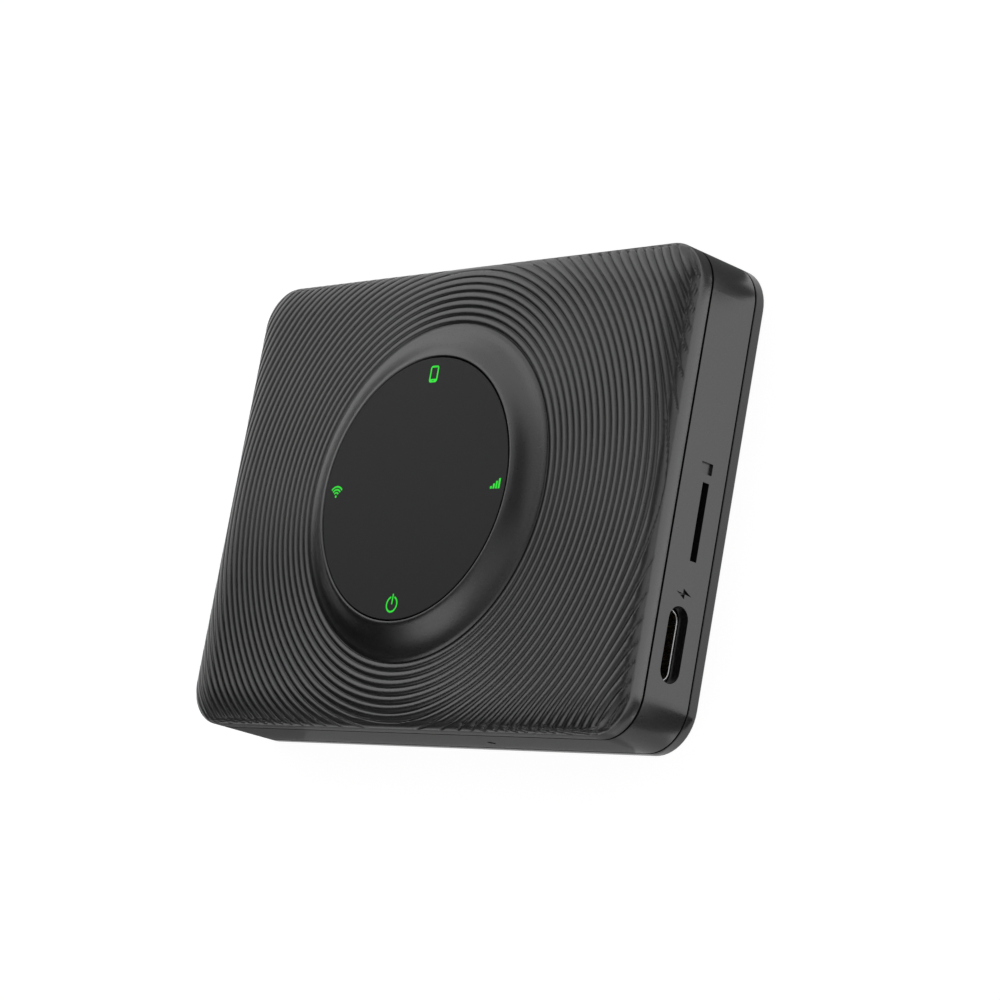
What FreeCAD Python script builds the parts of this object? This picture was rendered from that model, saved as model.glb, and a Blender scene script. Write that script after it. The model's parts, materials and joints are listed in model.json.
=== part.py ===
import FreeCAD, Part
import math
import os
import re
import Sketcher
from FreeCAD import Vector

# A pocket mobile hotspot lying on its back: a three-part case with a large round power key,
# its boards, battery, antennas, USB-C receptacle, SIM reader and reset switch.
# Millimetres. The origin is the centre of the back face, +Z leaves the front face,
# +X is the side with the ports and +Y is the upper edge, nearest the phone icon.

os.makedirs("parts", exist_ok=True)
doc = FreeCAD.newDocument("MobileHotspot")
sheet = doc.addObject("Spreadsheet::Sheet", "Sizes")

sizes = {
    # case
    "caseLength": 81.7,
    "caseWidth": 60.0,
    "cornerRadius": 5.5,
    "wall": 1.5,
    "backThick": 1.5,
    "backEdge": 0.3,
    "backFloor": 1.0,
    "backRim": 3.0,
    "seamHeight": 9.3,
    "faceHeight": 12.9,
    "seamEdge": 0.06,
    "seamGap": 0.28,
    "seamDepth": 0.6,
    "rollReach": 5.0,
    "rollDrop": 1.9,
    "roofThick": 1.4,
    # raised ring round the key, and the ripples outside it
    "ringTop": 14.8,
    "ringLip": 0.1,
    "ringCrest": 1.05,
    "ringWaist": 2.15,
    "ringWaistHeight": 13.2,
    "ringWidth": 4.95,
    "ripplePitch": 1.037,
    "rippleWidth": 0.34,
    "rippleDepth": 0.16,
    "rippleCount": 28,
    # case screws and their bosses
    "bossRadius": 1.9,
    "ribThick": 1.2,
    "screwRadius": 0.8,
    "screwHeadRadius": 1.45,
    "screwHeadThick": 0.9,
    "screwLength": 8.5,
    "screwClear": 0.1,
    "pilotTop": 12.0,
    # hooks that hold the back cover
    "hookLength": 6.0,
    "hookThick": 0.8,
    "hookTop": 2.9,
    "hookCatch": 0.35,
    "catchBottom": 2.3,
    "hookClear": 0.1,
    "hookSpread": 24.0,
    "hookSideSpread": 14.0,
    # power key
    "keyRadius": 16.92,
    "keyGap": 0.13,
    "keyTravel": 0.4,
    "capThick": 1.0,
    "capEdge": 0.06,
    "webThick": 1.0,
    "skirtThick": 0.8,
    "flangeReach": 1.0,
    "flangeThick": 0.5,
    "keyClear": 0.05,
    "postRadius": 1.6,
    "phoneReach": 14.75,
    "powerReach": 14.97,
    "wifiReach": 14.9,
    "signalReach": 15.2,
    "guideReach": 14.75,
    "guideSide": 2.4,
    "guideLength": 2.2,
    # icons
    "iconDepth": 0.4,
    "phoneWidth": 1.56,
    "phoneHeight": 2.2,
    "phoneLine": 0.25,
    "phoneChin": 0.46,
    "powerRadius": 1.07,
    "iconLine": 0.23,
    "arcStep": 0.4,
    "arcRadius": 1.42,
    "dotRadius": 0.17,
    "barWidth": 0.33,
    "barPitch": 0.46,
    "barStep": 0.32,
    # key board with its tact switch and lamps
    "keyBoardReach": 4.08,
    "keyBoardThick": 0.6,
    "keyBoardTop": 10.5,
    "mountGap": 2.88,
    "mountRadius": 1.4,
    "smallScrewRadius": 0.5,
    "smallHeadRadius": 1.0,
    "smallHeadThick": 0.5,
    "smallScrewLength": 1.9,
    "switchSide": 4.0,
    "switchHeight": 1.1,
    "plungerRadius": 1.0,
    "plungerHeight": 0.4,
    "plungerDepth": 0.3,
    "lampLength": 1.6,
    "lampWidth": 0.8,
    "lampHeight": 0.6,
    # main board
    "boardEndGap": 1.35,
    "boardSideGap": 1.5,
    "boardCorner": 3.5,
    "boardBottom": 3.1,
    "boardThick": 1.0,
    # USB-C receptacle
    "usbPlace": -17.85,
    "usbCutLength": 9.2,
    "usbCutHeight": 3.2,
    "usbLength": 8.94,
    "usbHeight": 3.16,
    "usbDepth": 7.35,
    "usbWall": 0.28,
    "usbEdge": 0.12,
    "usbBlock": 1.95,
    "tongueWidth": 6.69,
    "tongueThick": 0.7,
    "tongueBack": 0.7,
    "padPitch": 0.5,
    "padWidth": 0.28,
    "padThick": 0.05,
    "padLength": 3.4,
    "portClear": 0.05,
    # SIM reader
    "slotPlace": -2.92,
    "slotHeight": 4.9,
    "slotLength": 9.55,
    "slotOpening": 1.08,
    "readerPlace": -2.3,
    "readerWidth": 11.0,
    "readerDepth": 13.0,
    "readerFloor": 0.35,
    "readerHeight": 1.4,
    "readerInset": 0.45,
    "sheetThick": 0.2,
    "bladeLength": 2.4,
    "bladeWidth": 0.7,
    "bladeThick": 0.2,
    "bladePitch": 2.54,
    "bladeStart": 3.5,
    "bladeStep": 4.5,
    "sliderLength": 6.0,
    "sliderWidth": 1.1,
    "sliderHeight": 0.75,
    "toeLength": 5.3,
    "toeThick": 0.8,
    "springLength": 2.9,
    "springRadius": 0.28,
    "springWire": 0.06,
    "springTurns": 6.0,
    # marks in the port side
    "squarePlace": 3.55,
    "squareHeight": 5.15,
    "squareWidth": 1.4,
    "squareTall": 1.9,
    "squareDepth": 0.35,
    "boltPlace": -11.7,
    "boltHeight": 5.5,
    "boltTall": 2.6,
    "boltWidth": 1.25,
    "boltDepth": 0.45,
    # reset switch
    "resetPlace": 11.6,
    "resetHeight": 4.85,
    "resetHole": 0.55,
    "resetWidth": 4.0,
    "resetDepth": 2.2,
    "resetTall": 1.5,
    "stemWidth": 1.4,
    "stemTall": 0.7,
    "stemReach": 0.8,
    "stemInside": 0.6,
    "resetInset": 0.5,
    "stemTravel": 0.25,
    "stemClear": 0.05,
    # battery
    "batteryPlace": -11.0,
    "batteryLength": 44.0,
    "batteryWidth": 39.0,
    "batteryThick": 3.6,
    "batteryCorner": 1.2,
    "tapeThick": 0.2,
    "tapeLength": 22.0,
    "tapeWidth": 27.3,
    "tapePlace": -16.0,
    "circuitLength": 20.0,
    "circuitThick": 2.0,
    "circuitHeight": 2.4,
    "leadRadius": 0.3,
    "leadPitch": 1.2,
    "socketPlace": 17.5,
    "socketAside": 12.0,
    "socketLength": 4.0,
    "socketWidth": 5.0,
    "socketHeight": 1.3,
    "plugHeight": 0.9,
    "plugInset": 0.3,
    "leadAside": 8.0,
    "leadRun": 1.5,
    "leadArch": 1.2,
    # shields and chips
    "shieldHeight": 1.2,
    "modemPlace": -18.0,
    "modemAside": 8.0,
    "modemLength": 22.0,
    "modemWidth": 18.0,
    "modemChip": 12.0,
    "radioAside": -11.0,
    "radioLength": 16.0,
    "radioWidth": 14.0,
    "radioChip": 8.0,
    "chipHeight": 0.8,
    "memoryPlace": 2.0,
    "memoryAside": 8.0,
    "memoryLength": 11.5,
    "memoryWidth": 9.0,
    "powerPlace": 27.0,
    "powerAside": 17.0,
    "powerChip": 5.0,
    "capacitorLength": 1.0,
    "capacitorSide": 0.5,
    "capacitorPitch": 1.2,
    "capacitorReach": 4.5,
    "capacitorStep": 2.0,
    "inductorLength": 2.5,
    "inductorWidth": 2.0,
    "inductorHeight": 1.1,
    "inductorPitch": 3.0,
    "inductorReach": 5.5,
    # ribbon cable between the boards
    "ribbonWidth": 6.0,
    "ribbonThick": 0.15,
    "ribbonStart": 17.5,
    "ribbonFar": 23.0,
    "ribbonEnd": 20.0,
    "clampLength": 3.0,
    "clampWidth": 7.5,
    "clampHeight": 0.8,
    # antennas and the sheet that spreads heat
    "antennaThick": 0.15,
    "antennaBottom": 4.9,
    "antennaTall": 3.6,
    "cellMainLength": 30.0,
    "cellSecondLength": 14.0,
    "cellSecondAside": 12.0,
    "wifiLength": 22.0,
    "wifiUpperPlace": -2.0,
    "wifiLowerPlace": -16.0,
    "contactWidth": 1.2,
    "contactFoot": 1.6,
    "contactArm": 3.6,
    "contactMainAside": 6.0,
    "contactSecondAside": 8.0,
    "contactUpperAside": 6.0,
    "contactLowerAside": -20.0,
    "spreaderLength": 58.0,
    "spreaderWidth": 42.0,
    "spreaderThick": 0.1,
}
for row, (alias, number) in enumerate(sizes.items(), start=1):
    sheet.set(f"A{row}", alias)
    sheet.set(f"B{row}", str(number))
    sheet.setAlias(f"B{row}", alias)
doc.recompute()
size = {alias: float(sheet.get(alias)) for alias in sizes}

# heights that follow from the sheet, as expressions
boardTop = "(boardBottom + boardThick)"
boardLength = "(caseLength - 2 * wall - 2 * boardEndGap)"
boardWidth = "(caseWidth - 2 * wall - 2 * boardSideGap)"
mountReach = "(keyRadius + mountGap)"
capBottom = "(ringTop - capThick)"
webBottom = "(ringTop - capThick - webThick)"
flangeTop = "(faceHeight - roofThick - keyClear)"
innerLength = "(caseLength - 2 * wall)"
innerWidth = "(caseWidth - 2 * wall)"
usbMiddle = "(boardBottom + boardThick + usbHeight / 2)"
usbFront = "(caseLength / 2 - wall - portClear)"
readerFront = "(caseLength / 2 - wall - readerInset)"
readerBack = "(caseLength / 2 - wall - readerInset - readerDepth)"
batteryBottom = "(boardBottom + boardThick + shieldHeight + tapeThick)"
resetFace = "(caseWidth / 2 - wall - stemReach - resetInset)"

tiny = 1e-6  # two heights closer than this are the same
nodes = []


def bind(item, prop, text):
    # aliases in the text become references to the sheet
    linked = re.sub(r"[A-Za-z]+", lambda word: "Sizes." + word.group()
                    if word.group() in sizes else word.group(), text)
    item.setExpression(prop, linked)


def move(item, x="0", y="0", z="0"):
    for axis, text in zip("xyz", (x, y, z)):
        bind(item, "Placement.Base." + axis, text)


def node(item, name):
    item.Label = name
    nodes.append(item)
    return item


# plain solids

def box(name, length, width, height, x="0", y="0", z="0"):
    # centred on x and y, standing on z
    item = doc.addObject("Part::Box", name)
    bind(item, "Length", length)
    bind(item, "Width", width)
    bind(item, "Height", height)
    move(item, f"{x} - ({length}) / 2", f"{y} - ({width}) / 2", z)
    return item


def cylinder(name, radius, height, x="0", y="0", z="0", axis=None):
    # stands on z, or points along the axis that is given
    item = doc.addObject("Part::Cylinder", name)
    bind(item, "Radius", radius)
    bind(item, "Height", height)
    if axis is not None:
        item.Placement.Rotation = FreeCAD.Rotation(Vector(0, 0, 1), axis)
    move(item, x, y, z)
    return item


def cut(name, base, tools):
    item = doc.addObject("Part::Cut", name)
    item.Base = base
    item.Tool = tools[0] if len(tools) == 1 else fuse(name + "Tools", tools)
    return item


def fuse(name, shapes):
    item = doc.addObject("Part::MultiFuse", name)
    item.Shapes = shapes
    return item


def group(name, shapes):
    item = doc.addObject("Part::Compound", name)
    item.Links = shapes
    return item


def stadium(name, length, height, depth, x, y, z):
    # a bar with round ends: long in Y, its section in YZ, running from x towards +X
    flat = box(name + "Flat", depth, f"{length} - {height}", height,
               f"{x} + ({depth}) / 2", y, f"{z} - ({height}) / 2")
    ends = [cylinder(f"{name}End{side}", f"({height}) / 2", depth, x,
                     f"{y} {sign} (({length}) - ({height})) / 2", z, Vector(1, 0, 0))
            for side, sign in (("Left", "-"), ("Right", "+"))]
    return fuse(name, [flat] + ends)


# sketched bodies

def originPlane(body, role):
    return next(item for item in body.Origin.OriginFeatures if item.Role == role)


def rectangleSketch(body, name, length, width, z="0"):
    # a rectangle centred on the origin, at height z
    sketch = body.newObject("Sketcher::SketchObject", name)
    sketch.AttachmentSupport = (originPlane(body, "XY_Plane"), [""])
    sketch.MapMode = "FlatFace"
    bind(sketch, "AttachmentOffset.Base.z", z)
    corners = [Vector(-5, -4, 0), Vector(5, -4, 0), Vector(5, 4, 0), Vector(-5, 4, 0)]
    for i in range(4):
        sketch.addGeometry(Part.LineSegment(corners[i], corners[(i + 1) % 4]), False)
    for i in range(4):
        sketch.addConstraint(Sketcher.Constraint("Coincident", i, 2, (i + 1) % 4, 1))
    for kind, line in (("Horizontal", 0), ("Vertical", 1), ("Horizontal", 2), ("Vertical", 3)):
        sketch.addConstraint(Sketcher.Constraint(kind, line))
    sketch.addConstraint(Sketcher.Constraint("Symmetric", 0, 1, 1, 2, -1, 1))
    for label, kind, line, text in (("length", "DistanceX", 0, length), ("width", "DistanceY", 1, width)):
        index = sketch.addConstraint(Sketcher.Constraint(kind, line, 1, line, 2, 8))
        sketch.renameConstraint(index, label)
        bind(sketch, "Constraints." + label, text)
    return sketch


def circleSketch(body, name, radii, z="0"):
    # concentric circles round the origin, at height z
    sketch = body.newObject("Sketcher::SketchObject", name)
    sketch.AttachmentSupport = (originPlane(body, "XY_Plane"), [""])
    sketch.MapMode = "FlatFace"
    bind(sketch, "AttachmentOffset.Base.z", z)
    for i, text in enumerate(radii):
        sketch.addGeometry(Part.Circle(Vector(0, 0, 0), Vector(0, 0, 1), 4 + i), False)
        sketch.addConstraint(Sketcher.Constraint("Coincident", i, 3, -1, 1))
        index = sketch.addConstraint(Sketcher.Constraint("Radius", i, 4 + i))
        sketch.renameConstraint(index, f"radius{i}")
        bind(sketch, f"Constraints.radius{i}", text)
    return sketch


def pad(body, sketch, length):
    feature = body.newObject("PartDesign::Pad", sketch.Name + "Pad")
    feature.Profile = sketch
    bind(feature, "Length", length)
    doc.recompute()
    return feature


def pocket(body, sketch, length):
    # cuts down from the sketch; the volume shows that it did
    before = body.Shape.Volume
    feature = body.newObject("PartDesign::Pocket", sketch.Name + "Pocket")
    feature.Profile = sketch
    bind(feature, "Length", length)
    doc.recompute()
    if body.Shape.Volume >= before:
        raise RuntimeError("the pocket " + feature.Name + " cut nothing")
    return feature


def edgesWhere(feature, test):
    return [f"Edge{i}" for i, edge in enumerate(feature.Shape.Edges, start=1) if test(edge)]


def dress(body, kind, base, prop, text, test):
    # a fillet or chamfer on the edges that pass the test
    feature = body.newObject("PartDesign::" + kind, base.Name + kind)
    feature.Base = (base, edgesWhere(base, test))
    bind(feature, prop, text)
    doc.recompute()
    return feature


def upright(edge):
    return edge.BoundBox.XLength < tiny and edge.BoundBox.YLength < tiny


def levelAt(height, reach=0.0):
    # edges that lie flat at a height and reach at least this far from the middle
    def test(edge):
        bounds = edge.BoundBox
        far = max(abs(edge.CenterOfMass.x) - size["caseLength"] / 2,
                  abs(edge.CenterOfMass.y) - size["caseWidth"] / 2)
        return bounds.ZLength < tiny and abs(bounds.ZMin - height) < tiny and far > reach
    return test


def slab(name, length, width, thick, corner, z):
    # a flat plate with round corners; returns the body and its last feature
    body = doc.addObject("PartDesign::Body", name)
    plate = pad(body, rectangleSketch(body, name + "Outline", length, width, z), thick)
    last = dress(body, "Fillet", plate, "Radius", corner, upright)
    return body, last


# places that repeat

cornerPlaces = [(f"{sx}(caseLength / 2 - cornerRadius)", f"{sy}(caseWidth / 2 - cornerRadius)")
                for sx in ("", "-") for sy in ("", "-")]
mountAngles = (30, 150, 270)
mountPlaces = [(f"{mountReach} * {math.cos(math.radians(a)):.6f}",
                f"{mountReach} * {math.sin(math.radians(a)):.6f}") for a in mountAngles]
lampPlaces = [("0", "guideReach"), ("0", "-guideReach"), ("-guideReach", "0"), ("guideReach", "0")]
# each hook: its middle, and whether it lies along X (on a long wall) or along Y
hookPlaces = ([("x", f"{sx}hookSpread", sy) for sx in ("", "-") for sy in ("", "-")]
              + [("y", f"{sy}hookSideSpread", sx) for sx in ("", "-") for sy in ("", "-")])


def hookBoxes(name, inset, thick, bottom, top, length):
    # one box per hook, its outer face a distance inside the wall's inner face
    boxes = []
    for i, (along, place, side) in enumerate(hookPlaces):
        if along == "x":
            middle = f"{side}(caseWidth / 2 - wall - ({inset}) - ({thick}) / 2)"
            boxes.append(box(f"{name}{i}", length, thick, f"{top} - ({bottom})", place, middle, bottom))
        else:
            middle = f"{side}(caseLength / 2 - wall - ({inset}) - ({thick}) / 2)"
            boxes.append(box(f"{name}{i}", thick, length, f"{top} - ({bottom})", middle, place, bottom))
    return boxes


# case

def roundedOutline(length, width, radius, z):
    # a closed wire that starts in the middle of the +X side
    x, y = length / 2, width / 2
    edges = []
    point = Vector(x, 0, z)
    for sx, sy, start in ((1, 1, 0), (-1, 1, 90), (-1, -1, 180), (1, -1, 270)):
        centre = Vector(sx * (x - radius), sy * (y - radius), z)
        ends = [centre + Vector(radius * math.cos(math.radians(a)), radius * math.sin(math.radians(a)), 0)
                for a in (start, start + 45, start + 90)]
        edges.append(Part.makeLine(point, ends[0]))
        edges.append(Part.Arc(*ends).toShape())
        point = ends[2]
    edges.append(Part.makeLine(point, Vector(x, 0, z)))
    return Part.Wire(edges)


def rolledBlock():
    # the outside of the front shell: a slab whose front edge rolls over in a quarter ellipse
    length, width, radius = size["caseLength"], size["caseWidth"], size["cornerRadius"]
    bottom, top = size["seamHeight"], size["faceHeight"]
    reach, drop = size["rollReach"], size["rollDrop"]
    block = Part.Face(roundedOutline(length, width, radius, bottom)).extrude(Vector(0, 0, top - bottom))
    centre = Vector(length / 2 - reach, 0, top - drop)
    ellipse = Part.Ellipse(centre + Vector(reach, 0, 0), centre + Vector(0, 0, drop), centre)
    arc = Part.ArcOfEllipse(ellipse, 0, math.pi / 2).toShape()
    side, crest = arc.Vertexes[0].Point, arc.Vertexes[1].Point
    clear = 1.0
    corners = [crest, Vector(crest.x, 0, top + clear), Vector(length / 2 + clear, 0, top + clear),
               Vector(length / 2 + clear, 0, side.z), side]
    section = Part.Wire([arc] + [Part.makeLine(a, b) for a, b in zip(corners, corners[1:])])
    path = roundedOutline(length, width, radius, top - drop)
    return block.cut(path.makePipeShell([section], True, False, 1))


def keyRing():
    # the raised ring, turned: a small lip beside the key, then a slope that starts and lands almost flat
    inner = size["keyRadius"] + size["keyGap"]
    top, face, lip = size["ringTop"], size["faceHeight"], size["ringLip"]
    base = face - size["roofThick"]
    lipStart, lipEnd = Vector(inner, 0, top - lip), Vector(inner + lip, 0, top)
    foot = Vector(inner + size["ringWidth"], 0, face)
    slope = Part.BezierCurve()
    slope.setPoles([lipEnd, Vector(inner + size["ringCrest"], 0, top),
                    Vector(inner + size["ringWaist"], 0, size["ringWaistHeight"]), foot])
    corners = [foot, Vector(foot.x, 0, base), Vector(inner, 0, base), lipStart, lipEnd]
    wire = Part.Wire([slope.toShape()] + [Part.makeLine(a, b) for a, b in zip(corners, corners[1:])])
    return Part.Face(wire).revolve(Vector(0, 0, 0), Vector(0, 0, 1), 360)


def rippleTool():
    # one turned solid whose under side is a row of V-shaped teeth, one per ripple valley
    face, half, depth = size["faceHeight"], size["rippleWidth"] / 2, size["rippleDepth"]
    foot = size["keyRadius"] + size["keyGap"] + size["ringWidth"]
    points = [Vector(foot - half, 0, face + 1)]
    for k in range(int(size["rippleCount"])):
        radius = foot + size["ripplePitch"] * k
        points += [Vector(radius - half, 0, face), Vector(radius, 0, face - depth),
                   Vector(radius + half, 0, face)]
    points.append(Vector(points[-1].x, 0, face + 1))
    wire = Part.makePolygon(points + [points[0]])
    return Part.Face(wire).revolve(Vector(0, 0, 0), Vector(0, 0, 1), 360)


def frontShell():
    seam, face = size["seamHeight"], size["faceHeight"]
    roof = face - size["roofThick"]
    wall = size["wall"]
    inner = size["keyRadius"] + size["keyGap"]
    cavity = Part.Face(roundedOutline(size["caseLength"] - 2 * wall, size["caseWidth"] - 2 * wall,
                                      size["cornerRadius"] - wall, seam)).extrude(Vector(0, 0, roof - seam))
    shell = rolledBlock().cut(cavity)
    shell = shell.cut(Part.makeCylinder(inner, face, Vector(0, 0, 0)))
    shell = shell.fuse(keyRing()).cut(rippleTool())
    cornerX = size["caseLength"] / 2 - size["cornerRadius"]
    cornerY = size["caseWidth"] / 2 - size["cornerRadius"]
    bosses, holes = [], []
    for sx in (1, -1):
        for sy in (1, -1):
            base = Vector(sx * cornerX, sy * cornerY, seam)
            bosses.append(Part.makeCylinder(size["bossRadius"], roof - seam + 0.3, base))
            holes.append(Part.makeCylinder(size["screwRadius"], size["pilotTop"] - seam, base))
    under = size["keyBoardTop"]
    for angle in mountAngles:
        reach = size["keyRadius"] + size["mountGap"]
        base = Vector(reach * math.cos(math.radians(angle)), reach * math.sin(math.radians(angle)), under)
        bosses.append(Part.makeCylinder(size["mountRadius"], roof - under + 0.3, base))
        holes.append(Part.makeCylinder(size["smallScrewRadius"], roof - under + 0.5, base))
    shell = shell.fuse(bosses).cut(holes)
    edges = [edge for edge in shell.Edges if outerEdge(seam)(edge)]
    item = doc.addObject("Part::Feature", "FrontShell")
    item.Shape = shell.makeChamfer(size["seamEdge"], edges).removeSplitter()
    item.Placement = FreeCAD.Placement()
    return node(item, "front_shell")


def cornerArc(edge, height):
    # the outer corner arcs of the case at a height
    flat = edge.BoundBox.ZLength < tiny and abs(edge.BoundBox.ZMin - height) < tiny
    curved = isinstance(edge.Curve, Part.Circle)
    return flat and curved and abs(edge.Curve.Radius - size["cornerRadius"]) < 1e-4


def outerEdge(height):
    straight = levelAt(height, -1e-3)
    return lambda edge: straight(edge) or cornerArc(edge, height)


def boltBody():
    # a lightning bolt: two slanted strokes that overlap in the middle, cut into the +X wall
    body = doc.addObject("PartDesign::Body", "Bolt")
    sketch = body.newObject("Sketcher::SketchObject", "BoltOutline")
    sketch.AttachmentSupport = (originPlane(body, "YZ_Plane"), [""])
    sketch.MapMode = "FlatFace"
    bind(sketch, "AttachmentOffset.Base.x", "boltPlace")
    bind(sketch, "AttachmentOffset.Base.y", "boltHeight")
    bind(sketch, "AttachmentOffset.Base.z", "caseLength / 2 - boltDepth")
    # corners as fractions of the width and height, from the top point round to the left
    corners = [(0.1, 0.5), (0.02, 0.06), (0.5, 0.06), (-0.1, -0.5), (-0.02, -0.06), (-0.5, -0.06)]
    points = [Vector(a * size["boltWidth"], b * size["boltTall"], 0) for a, b in corners]
    for i in range(len(points)):
        sketch.addGeometry(Part.LineSegment(points[i], points[(i + 1) % len(points)]), False)
    for i in range(len(points)):
        sketch.addConstraint(Sketcher.Constraint("Coincident", i, 2, (i + 1) % len(points), 1))
    for i, (a, b) in enumerate(corners):
        for kind, part, name in (("DistanceX", a, "boltWidth"), ("DistanceY", b, "boltTall")):
            ends = (-1, 1, i, 1) if part > 0 else (i, 1, -1, 1)
            index = sketch.addConstraint(Sketcher.Constraint(kind, *ends, abs(part) * size[name]))
            sketch.renameConstraint(index, f"{kind}{i}")
            bind(sketch, f"Constraints.{kind}{i}", f"{abs(part)} * {name}")
    pad(body, sketch, "wall")
    return body


def midFrame():
    # the band between the two seams, stepped back at each seam, with bosses for the case screws
    band, _ = slab("Band", "caseLength", "caseWidth", "seamHeight - backThick - 2 * seamGap", "cornerRadius",
                   "backThick + seamGap")
    core, _ = slab("BandCore", "caseLength - 2 * seamDepth", "caseWidth - 2 * seamDepth",
                   "seamHeight - backThick", "cornerRadius - seamDepth", "backThick")
    hollow, _ = slab("BandHollow", innerLength, innerWidth, "seamHeight - backThick + 2",
                     "cornerRadius - wall", "backThick - 1")
    ring = cut("BandRing", fuse("BandSolid", [band, core]), [hollow])
    extras, holes = [], []
    bossHeight = f"seamHeight - {boardTop}"
    for i, (x, y) in enumerate(cornerPlaces):
        sx = "-" if x.startswith("-") else "+"
        sy = "-" if y.startswith("-") else "+"
        extras.append(cylinder(f"Boss{i}", "bossRadius", bossHeight, x, y, boardTop))
        extras.append(box(f"RibAlong{i}", "cornerRadius - wall / 2", "ribThick", bossHeight,
                          f"{x} {sx} (cornerRadius - wall / 2) / 2", y, boardTop))
        extras.append(box(f"RibAcross{i}", "ribThick", "cornerRadius - wall / 2", bossHeight,
                          x, f"{y} {sy} (cornerRadius - wall / 2) / 2", boardTop))
        holes.append(cylinder(f"BossHole{i}", "screwRadius + screwClear", f"{bossHeight} + 2", x, y,
                              f"{boardTop} - 1"))
    wallX = "caseLength / 2 - wall - 1"
    holes.append(stadium("UsbCut", "usbCutLength", "usbCutHeight", "wall + 2", wallX, "usbPlace", usbMiddle))
    holes.append(box("SlotCut", "wall + 2", "slotLength", "slotOpening", "caseLength / 2 - wall / 2",
                     "slotPlace", "slotHeight - slotOpening / 2"))
    holes.append(box("SquareCut", "2 * squareDepth", "squareWidth", "squareTall", "caseLength / 2",
                     "squarePlace", "squareHeight - squareTall / 2"))
    holes.append(boltBody())
    holes.append(cylinder("ResetCut", "resetHole", "wall + 2", "resetPlace", "-caseWidth / 2 - 1",
                          "resetHeight", Vector(0, 1, 0)))
    notches = hookBoxes("Notch", "-hookCatch - hookClear", "hookCatch + hookClear + 0.5",
                        "catchBottom - hookClear", "hookTop + hookClear", "hookLength + 4 * hookClear")
    frame = fuse("BandWithBosses", [ring] + extras)
    return node(cut("MidFrame", frame, holes + notches), "mid_frame")


def backCover():
    # the thin plate on the back, hollowed inside its rim, with hooks that snap into the frame
    body, last = slab("Plate", "caseLength", "caseWidth", "backThick", "cornerRadius", "0")
    last = dress(body, "Fillet", last, "Radius", "backEdge", outerEdge(0.0))
    dress(body, "Chamfer", last, "Size", "seamEdge", outerEdge(size["backThick"]))
    pocket(body, rectangleSketch(body, "PlateHollow", "caseLength - 2 * backRim",
                                 "caseWidth - 2 * backRim", "backThick"), "backThick - backFloor")
    tabs = hookBoxes("Tab", "hookClear", "hookThick", "backFloor", "hookTop", "hookLength")
    catches = hookBoxes("Catch", "-hookCatch + hookClear", "hookCatch", "catchBottom", "hookTop - hookClear",
                        "hookLength")
    return node(fuse("BackCover", [body] + tabs + catches), "back_cover")


def caseScrews():
    # head under the board, shank up through the frame's boss into the front shell
    screws = []
    for i, (x, y) in enumerate(cornerPlaces):
        head = cylinder(f"ScrewHead{i}", "screwHeadRadius", "screwHeadThick", x, y,
                        "boardBottom - screwHeadThick")
        shank = cylinder(f"ScrewShank{i}", "screwRadius", "screwLength + 0.1", x, y, "boardBottom - 0.1")
        bit = doc.addObject("Part::Prism", f"ScrewBit{i}")
        bit.Polygon = 6
        bind(bit, "Circumradius", "screwHeadRadius / 2")
        bind(bit, "Height", "screwHeadThick")
        move(bit, x, y, "boardBottom - 1.5 * screwHeadThick")
        screws.append(cut(f"Screw{i}", fuse(f"ScrewSolid{i}", [head, shank]), [bit]))
    node(group("CaseScrews", screws), "case_screws")


# power key

def ringSector(outer, inner, start, sweep, height):
    # part of a flat ring, from the start angle anticlockwise
    solid = Part.makeCylinder(outer, height, Vector(0, 0, 0), Vector(0, 0, 1), sweep)
    solid = solid.cut(Part.makeCylinder(inner, height))
    solid.rotate(Vector(0, 0, 0), Vector(0, 0, 1), start)
    return solid


def phoneIcon(height):
    width, tall, line = size["phoneWidth"], size["phoneHeight"], size["phoneLine"]
    outer = Part.Face(roundedOutline(width, tall, 1.5 * line, 0)).extrude(Vector(0, 0, height))
    glassTall = tall - line - size["phoneChin"]
    glass = Part.makeBox(width - 2 * line, glassTall, height,
                         Vector(line - width / 2, tall / 2 - line - glassTall, 0))
    button = Part.makeCylinder(line / 3, height, Vector(0, (size["phoneChin"] - tall) / 2, 0))
    return [outer.cut([glass, button])]


def powerIcon(height):
    radius, line = size["powerRadius"], size["iconLine"]
    opening = 36
    ring = ringSector(radius, radius - line, 90 + opening / 2, 360 - opening, height)
    stroke = Part.makeBox(line, 1.25 * radius, height, Vector(-line / 2, 0, 0))
    return [ring, stroke]


def wifiIcon(height):
    radius, line, step = size["arcRadius"], size["iconLine"], size["arcStep"]
    foot = Vector(0, -radius / 2, 0)
    solids = [Part.makeCylinder(size["dotRadius"], height, foot)]
    for k in range(3):
        arc = ringSector(radius - k * step, radius - k * step - line, 40, 100, height)
        arc.translate(foot)
        solids.append(arc)
    return solids


def signalIcon(height):
    pitch, width, step = size["barPitch"], size["barWidth"], size["barStep"]
    left = -(3 * pitch + width) / 2
    return [Part.makeBox(width, (k + 1) * step, height, Vector(left + k * pitch, -2 * step, 0))
            for k in range(4)]


def icons():
    # lit inlays in the top of the smoked key cap
    height = size["iconDepth"]
    places = {"phone": Vector(0, size["phoneReach"], 0), "power": Vector(0, -size["powerReach"], 0),
              "wifi": Vector(-size["wifiReach"], 0, 0), "signal": Vector(size["signalReach"], 0, 0)}
    shapes = {"phone": phoneIcon(height), "power": powerIcon(height), "wifi": wifiIcon(height),
              "signal": signalIcon(height)}
    items = []
    for name, solids in shapes.items():
        item = doc.addObject("Part::Feature", name.capitalize() + "Icon")
        item.Shape = Part.makeCompound(solids)
        item.Placement = FreeCAD.Placement(places[name] + Vector(0, 0, size["ringTop"] - height),
                                           FreeCAD.Rotation())
        items.append(node(item, name + "_icon"))
    return items


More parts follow.
